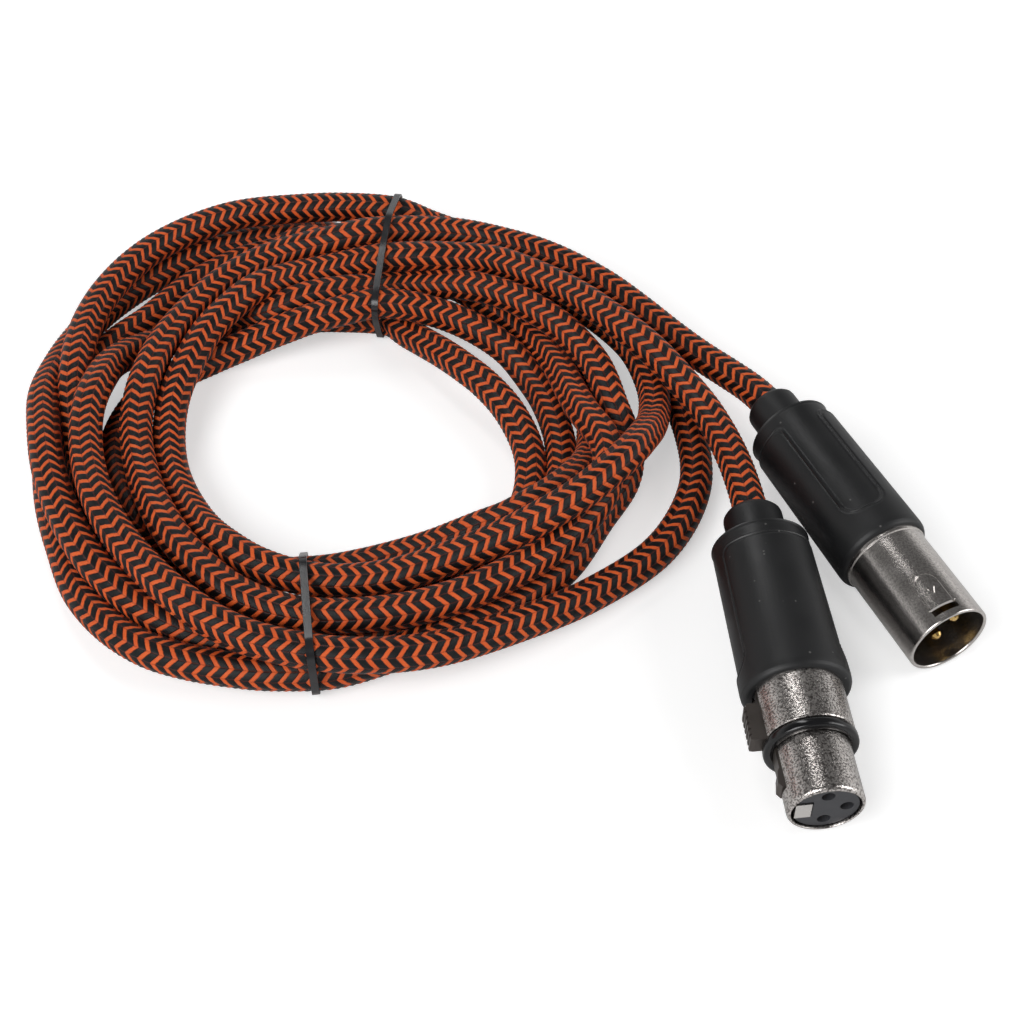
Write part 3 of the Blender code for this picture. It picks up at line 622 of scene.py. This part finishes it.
def walled_tube(name, place, xs, angles, outer, inner, is_open=None):
    """A tube with walls, given its radii as functions of (x, angle); cells that are open are cut through."""
    rows, columns = len(xs), len(angles)
    vertices = []
    for radius in (outer, inner):
        for x in xs:
            for angle in angles:
                r = radius(x, angle)
                spot = Vector((x, -r * sin(angle), r * cos(angle))) * MM
                vertices.append(place @ spot)
    skin = rows * columns
    faces = []

    def open_cell(i, j):
        if i < 0 or i >= rows - 1:
            return True
        if is_open is None:
            return False
        after = angles[(j + 1) % columns] + (2 * pi if j == columns - 1 else 0.0)
        return is_open((xs[i] + xs[i + 1]) / 2, (angles[j] + after) / 2)

    for i in range(rows - 1):
        for j in range(columns):
            if open_cell(i, j):
                continue
            k = (j + 1) % columns
            a, b = i * columns + j, i * columns + k
            c, d = (i + 1) * columns + k, (i + 1) * columns + j
            faces.append((a, b, c, d))
            faces.append((skin + d, skin + c, skin + b, skin + a))
            if open_cell(i - 1, j):
                faces.append((b, a, skin + a, skin + b))
            if open_cell(i + 1, j):
                faces.append((d, c, skin + c, skin + d))
            if is_open is not None and open_cell(i, (j - 1) % columns):
                faces.append((a, d, skin + d, skin + a))
            if is_open is not None and open_cell(i, k):
                faces.append((c, b, skin + b, skin + c))
    return finished_mesh(name, vertices, faces)


def finished_mesh(name, vertices, faces, sharp=35.0):
    """A closed mesh with its normals outward and its hard edges kept hard."""
    mesh = bpy.data.meshes.new(name)
    mesh.from_pydata([tuple(v) for v in vertices], [], faces)
    work = bmesh.new()
    work.from_mesh(mesh)
    loose = [v for v in work.verts if not v.link_faces]
    bmesh.ops.delete(work, geom=loose, context="VERTS")
    bmesh.ops.recalc_face_normals(work, faces=work.faces)
    work.to_mesh(mesh)
    work.free()
    mesh.shade_smooth()
    mesh.set_sharp_from_angle(angle=radians(sharp))
    return mesh


def lathe(name, place, profile, sides):
    """Turns a closed outline of (x, radius) points, in mm, round the connector's axis."""
    vertices = []
    for x, r in profile:
        for step in range(sides):
            turn = 2 * pi * step / sides
            vertices.append(place @ (Vector((x, -r * sin(turn), r * cos(turn))) * MM))
    faces = []
    for i in range(len(profile)):
        one = i * sides
        two = (i + 1) % len(profile) * sides
        for j in range(sides):
            k = (j + 1) % sides
            faces.append((one + j, one + k, two + k, two + j))
    return finished_mesh(name, vertices, faces)


def from_latch(angle):
    """An angle round a connector, counted from its latch side, from minus to plus half a turn."""
    return (angle + pi) % (2 * pi) - pi


def between(x, table):
    """A value read off a table of (x, value) points joined by straight lines."""
    return float(np.interp(x, [row[0] for row in table], [row[1] for row in table]))


def soft_step(value, low, high):
    t = min(max((value - low) / (high - low), 0.0), 1.0)
    return t * t * (3 - 2 * t)


def rounded_box(x, y, half_x, half_y, corner):
    """The distance outside a rectangle with round corners, negative inside it."""
    dx, dy = abs(x) - half_x + corner, abs(y) - half_y + corner
    return min(max(dx, dy), 0.0) + hypot(max(dx, 0.0), max(dy, 0.0)) - corner


def panel_sink(x, angle):
    """How deep the boot's skin lies at a spot: a label channel on two sides and a low band at the back."""
    across = ((angle + pi / 2) % pi - pi / 2) * BOOT_R
    middle, half_long, half_wide, corner = LABEL_CHANNEL
    channel = rounded_box(x - middle, across, half_long, half_wide, corner)
    band = x - BACK_BAND
    # The two shapes flow into each other through a round corner, and a fine ledge runs outside both.
    flow = 2.6
    blend = max(flow - abs(channel - band), 0.0) / flow
    edge = min(channel, band) - blend * blend * flow * 0.25
    ledge = 0.16 * soft_step(edge, 0.95, 0.75) * soft_step(edge, 0.3, 0.5)
    return 0.5 * (1.0 - soft_step(edge, -0.25, 0.25)) + ledge


def boot(name, place, front, oval):
    """The moulded boot with its neck, hollow for the shell at the front and the cable at the back."""
    outside = (
        (-77.8, 5.0), (-77.6, 5.45), (-77.2, 5.8), (-76.6, 6.2), (-76.0, 6.3), (-68.5, 6.3), (-68.15, 6.45),
        (-68.0, 6.7), (-67.98, 9.5), (-67.85, 9.95), (-67.7, 10.25), (-67.3, 10.5), (-66.6, 10.62),
        (front - 2.2, 11.0), (front - 1.2, 10.93), (front - 0.5, 10.66), (front - 0.15, 10.35),
        (front, 9.95))
    inside = ((-77.8, 4.15), (-66.0, 4.15), (-65.9, 8.9), (-42.0, 8.9), (-41.9, 9.62), (front, 9.62))
    xs = stops((-77.8, -77.2, 0.2), (-77.2, -76.0, 0.3), (-76.0, -68.5, 1.5), (-68.5, -68.0, 0.12),
               (-67.98, -67.3, 0.11), (-67.3, -60.0, 0.24), (-60.0, -38.0, 0.6), (-38.0, -30.0, 0.2),
               (-30.0, front - 2.2, 0.5), (front - 2.2, front, 0.15))
    sides = 216
    angles = [2 * pi * k / sides for k in range(sides)]

    def outer(x, angle):
        sink = panel_sink(x, angle) * soft_step(x, -67.9, -67.0) if x > -67.9 else 0.0
        flash = 0.1 * max(0.0, 1.0 - abs(x + 67.62) / 0.16)
        return between(x, outside) * (1.0 + oval * cos(angle) ** 2) - sink + flash

    def inner(x, angle):
        return between(x, inside)

    return walled_tube(name, place, xs, angles, outer, inner)


def rim(x, front, back, size):
    """How much a wall's end is rounded off near its two ends."""
    near = min(front - x, x - back)
    if near >= size:
        return 0.0
    return size - sqrt(max(size * size - (size - near) ** 2, 0.0))


def fine_angles(half, fine, coarse):
    """Angles round a tube, fine near the latch side and coarse elsewhere."""
    inner = spread(-half, half, fine)
    outer = spread(half, 2 * pi - half, coarse)[1:-1]
    return inner + outer


def male_barrel():
    """The plug's barrel: a plated tube with a latch slot and the mark of its tongue."""
    front, back = 0.0, SHELL_BACK
    edge = 0.5
    xs = stops((back, -39.4, 0.2), (-39.4, -25.6, 3.0), (-25.6, -24.0, 0.1), (-24.0, -13.4, 0.8),
               (-13.4, -3.6, 0.14), (-3.6, -1.7, 0.19), (-1.7, -0.6, 0.22), (-0.6, front, 0.05))
    slot_half = SLOT_HALF / BARREL_R
    angles = fine_angles(0.42, slot_half / 22, 0.055)

    def tongue(x, across):
        """The groove round the tongue: straight sides and a round back."""
        if x > TONGUE_BACK:
            gap = abs(abs(across) - SLOT_HALF)
        else:
            gap = abs(hypot(across, x - TONGUE_BACK) - SLOT_HALF)
        return 1.0 - soft_step(gap, 0.1, 0.34)

    def mark(x, across):
        """A small chevron on the tongue."""
        gap = abs((x + 8.6) + abs(across) * 1.7 - 1.7)
        if abs(across) > 0.95:
            return 0.0
        return 1.0 - soft_step(gap, 0.08, 0.3)

    def outer(x, angle):
        across = from_latch(angle) * BARREL_R
        sink = 0.0
        if -13.2 < x < -3.55 and abs(across) < 3.9:
            sink = 0.2 * tongue(x, across) + 0.1 * mark(x, across)
        flange = 0.32 * soft_step(x, -25.6, -25.5) * (1.0 - soft_step(x, -24.75, -24.45))
        return BARREL_R - 0.7 * rim(x, front, back, edge) - sink + flange

    def inner(x, angle):
        return BARREL_BORE + 0.7 * rim(x, front, back, edge)

    def slot(x, angle):
        return -3.6 < x < -1.7 and abs(from_latch(angle)) < slot_half

    return walled_tube("male_barrel", MALE, xs, angles, outer, inner, slot)


def female_body():
    """The socket's body and nose, with the window that the latch works in."""
    front, back = 0.0, SHELL_BACK
    far_back = -60.0          # behind the back end, so that only the front is rounded
    xs = stops((back, -39.4, 0.2), (-39.4, -31.5, 2.6), (-31.5, -17.0, 1.45), (-17.0, -16.0, 0.1),
               (-15.98, -13.2, 0.7), (-13.2, -4.4, 0.88), (-4.4, -1.2, 0.8), (-1.2, front, 0.08))
    window_half = 0.385
    angles = fine_angles(window_half, 0.05, 0.045)
    outside = ((back, 9.7), (-16.45, 9.7), (-16.2, 9.62), (-16.05, 9.42), (-16.0, 9.1), (-15.98, 8.0),
               (front, 8.0))
    inside = ((back, 8.6), (-17.2, 8.6), (-16.6, 7.1), (front, 7.1))

    def outer(x, angle):
        return between(x, outside) - 0.75 * rim(x, front, far_back, 1.0)

    def inner(x, angle):
        return between(x, inside) + 0.35 * rim(x, front, far_back, 0.5)

    def window(x, angle):
        return -31.5 < x < -4.4 and abs(from_latch(angle)) < window_half

    return walled_tube("female_body", FEMALE, xs, angles, outer, inner, window)


def seal_ring():
    """A soft black ring in front of the socket's body, squarer in section than a circle."""
    middle, radius = -14.75, 8.92
    half_long, half_thick = 1.1, 1.02
    around = 20

    def squared(value):
        return abs(value) ** 0.6 * (1 if value > 0 else -1)

    profile = []
    for step in range(around):
        turn = 2 * pi * step / around
        profile.append((middle + half_long * squared(cos(turn)), radius + half_thick * squared(sin(turn))))
    return lathe("seal_ring", FEMALE, profile, 96)


def make_connectors(looks):
    link_piece("male_boot_moulded", boot("male_boot_moulded", MALE, -25.5, 0.0), looks["boot"],
               replaces=("male_boot",))
    link_piece("male_barrel", male_barrel(), looks["barrel"], replaces=("male_shell",))
    link_piece("female_boot_moulded", boot("female_boot_moulded", FEMALE, -27.5, 0.08), looks["boot"],
               replaces=("female_boot",))
    link_piece("female_body", female_body(), looks["body"], replaces=("female_shell",))
    link_piece("seal_ring", seal_ring(), looks["seal"], replaces=("female_seal_ring",))


# ================================================================ the ties
def hull(points):
    """The outline round a set of points in a plane, anticlockwise."""
    pts = sorted(set((round(float(x), 4), round(float(y), 4)) for x, y in points))

    def half(run):
        kept = []
        for p in run:
            while len(kept) > 1:
                (ax, ay), (bx, by) = kept[-2], kept[-1]
                if (bx - ax) * (p[1] - ay) - (by - ay) * (p[0] - ax) > 0:
                    break
                kept.pop()
            kept.append(p)
        return kept[:-1]

    return half(pts) + half(pts[::-1])


def tie_route(angle, swing, line, lift):
    """Where a tie lies: the outline round every turn that passes through its plane."""
    out = Vector((cos(radians(angle)), sin(radians(angle)), 0.0))
    along = Vector((-out.y, out.x, 0.0))
    out, along = (Matrix.Rotation(radians(swing), 3, "Z") @ v for v in (out, along))
    middle = Vector(on_coil(angle, 60.0, 0.0))
    bundle_half = 40.0
    around = 48
    off = (line - np.array(middle)) @ np.array(along)
    spots = []
    for i in range(len(line) - 1):
        if off[i] * off[i + 1] > 0 or off[i] == off[i + 1]:
            continue
        share = off[i] / (off[i] - off[i + 1])
        spot = line[i] + share * (line[i + 1] - line[i])
        reach = float((spot - np.array(middle)) @ np.array(out))
        if abs(reach) < bundle_half:
            heading = (line[i + 1] - line[i]) / np.linalg.norm(line[i + 1] - line[i])
            # A turn that passes at a slant is wider in the tie's plane.
            slant = abs(float(np.dot(heading, along)))
            spots.append((reach, float(spot[2]), JACKET_R / max(slant, 0.7)))
    ring = []
    for reach, height, wide in spots:
        for step in range(around):
            turn = 2 * pi * step / around
            y = height + (JACKET_R + lift) * sin(turn)
            ring.append((reach + (wide + lift) * cos(turn), max(y, lift)))
    outline = np.array([(x, 0.0, y) for x, y in hull(ring)])
    closed = evenly(np.vstack([outline, outline[:1]]), 0.8)[:-1]
    for _ in range(3):
        closed = 0.5 * closed + 0.25 * (np.roll(closed, 1, axis=0) + np.roll(closed, -1, axis=0))
    basis = np.array([out, along, (0.0, 0.0, 1.0)])
    return closed @ basis + np.array(middle), Vector(along)


def band_mesh(name, route, across):
    """A flat band with two low ridges, laid along a closed route. Across is the direction of its width."""
    wide, thick = 1.8, 0.9
    section = ((-0.46, 0.0), (-0.5, 0.2), (-0.5, 0.55), (-0.42, 0.85), (-0.28, 0.95), (-0.12, 0.8),
               (0.0, 0.72), (0.12, 0.8), (0.28, 0.95), (0.42, 0.85), (0.5, 0.55), (0.5, 0.2), (0.46, 0.0))
    route = np.array(route)
    tangent = np.roll(route, -1, axis=0) - np.roll(route, 1, axis=0)
    tangent /= np.linalg.norm(tangent, axis=1)[:, None]
    outward = np.cross(tangent, np.array(across))
    outward /= np.linalg.norm(outward, axis=1)[:, None]
    side = np.cross(outward, tangent)
    vertices = []
    for i in range(len(route)):
        for w, h in section:
            vertices.append(Vector(route[i] + side[i] * w * wide + outward[i] * (h - 0.5) * thick) * MM)
    size = len(section)
    faces = []
    for i in range(len(route)):
        j = (i + 1) % len(route)
        for k in range(size):
            m = (k + 1) % size
            faces.append((i * size + k, i * size + m, j * size + m, j * size + k))
    return finished_mesh(name, vertices, faces, 50.0)


def make_ties(look, line):
    places = (("upper_band", "tie_upper", 85.0, 0.0), ("lower_band", "tie_lower", 262.5, 16.0))
    for name, node, angle, swing in places:
        route, along = tie_route(angle, swing, line, 0.42)
        link_piece(name, band_mesh(name, route, along), look, replaces=(node,))


# ================================================================ build
GRAIN = surface_grain_group()
make_camera()
make_studio()
make_table()
CABLE, LINE, LENGTH = make_cable()
LOOKS = {
    "boot": boot_rubber(),
    "barrel": plated_nickel("satin nickel", 2600.0, 0.00003, 0.22, 0.3),
    "body": plated_nickel("blasted nickel", 2300.0, 0.00009, 0.24, 0.85),
    "insert": plain_finish("insert plastic", (0.030, 0.031, 0.036), (0.045, 0.046, 0.052), 0.45),
    "dark": plain_finish("dark insert plastic", (0.012, 0.010, 0.009), (0.02, 0.017, 0.015), 0.5),
    "gold": plain_finish("gold plate", (0.72, 0.46, 0.15), (0.85, 0.60, 0.24), 0.22, 1.0),
    "tie": plain_finish("tie plastic", (0.012, 0.012, 0.013), (0.02, 0.02, 0.022), 0.16),
    "latch": plain_finish("latch metal", (0.085, 0.073, 0.066), (0.12, 0.105, 0.096), 0.42, 0.7),
    "key": plain_finish("bright nickel", (0.70, 0.67, 0.64), (0.80, 0.77, 0.74), 0.28, 1.0),
    "seal": plain_finish("seal rubber", (0.004, 0.004, 0.0045), (0.007, 0.007, 0.008), 0.18),
    "clamp": plain_finish("clamp plastic", (0.55, 0.53, 0.48), (0.64, 0.62, 0.57), 0.5),
    "jacket": plain_finish("inner jacket", (0.015, 0.015, 0.016), (0.025, 0.025, 0.027), 0.6),
    "steel": plain_finish("steel", (0.45, 0.45, 0.46), (0.55, 0.55, 0.56), 0.3, 1.0),
    "red": plain_finish("red wire", (0.45, 0.02, 0.015), (0.55, 0.035, 0.025), 0.45),
    "blue": plain_finish("blue wire", (0.02, 0.08, 0.35), (0.03, 0.11, 0.42), 0.45),
    "screen": plain_finish("bare screen", (0.60, 0.42, 0.30), (0.72, 0.50, 0.36), 0.35, 1.0),
}
# What each remaining part is made of.
PART_LOOKS = {
    "male_insert": "dark", "female_insert": "insert", "female_key_bar": "key", "female_latch": "latch",
    "female_latch_pin": "steel", "female_latch_spring": "steel",
}
for side, contact in (("male", "pin"), ("female", "socket")):
    PART_LOOKS[f"{side}_cable_clamp"] = "clamp"
    PART_LOOKS[f"{side}_cable_end"] = "jacket"
    for number, wire in enumerate(("screen", "red", "blue"), 1):
        PART_LOOKS[f"{side}_wire_{number}"] = wire
        PART_LOOKS[f"{side}_{contact}_{number}"] = "gold"
make_connectors(LOOKS)
make_ties(LOOKS["tie"], LINE)
for node_name, look in PART_LOOKS.items():
    node = NODES[node_name]
    node.data.materials.clear()
    node.data.materials.append(LOOKS[look])
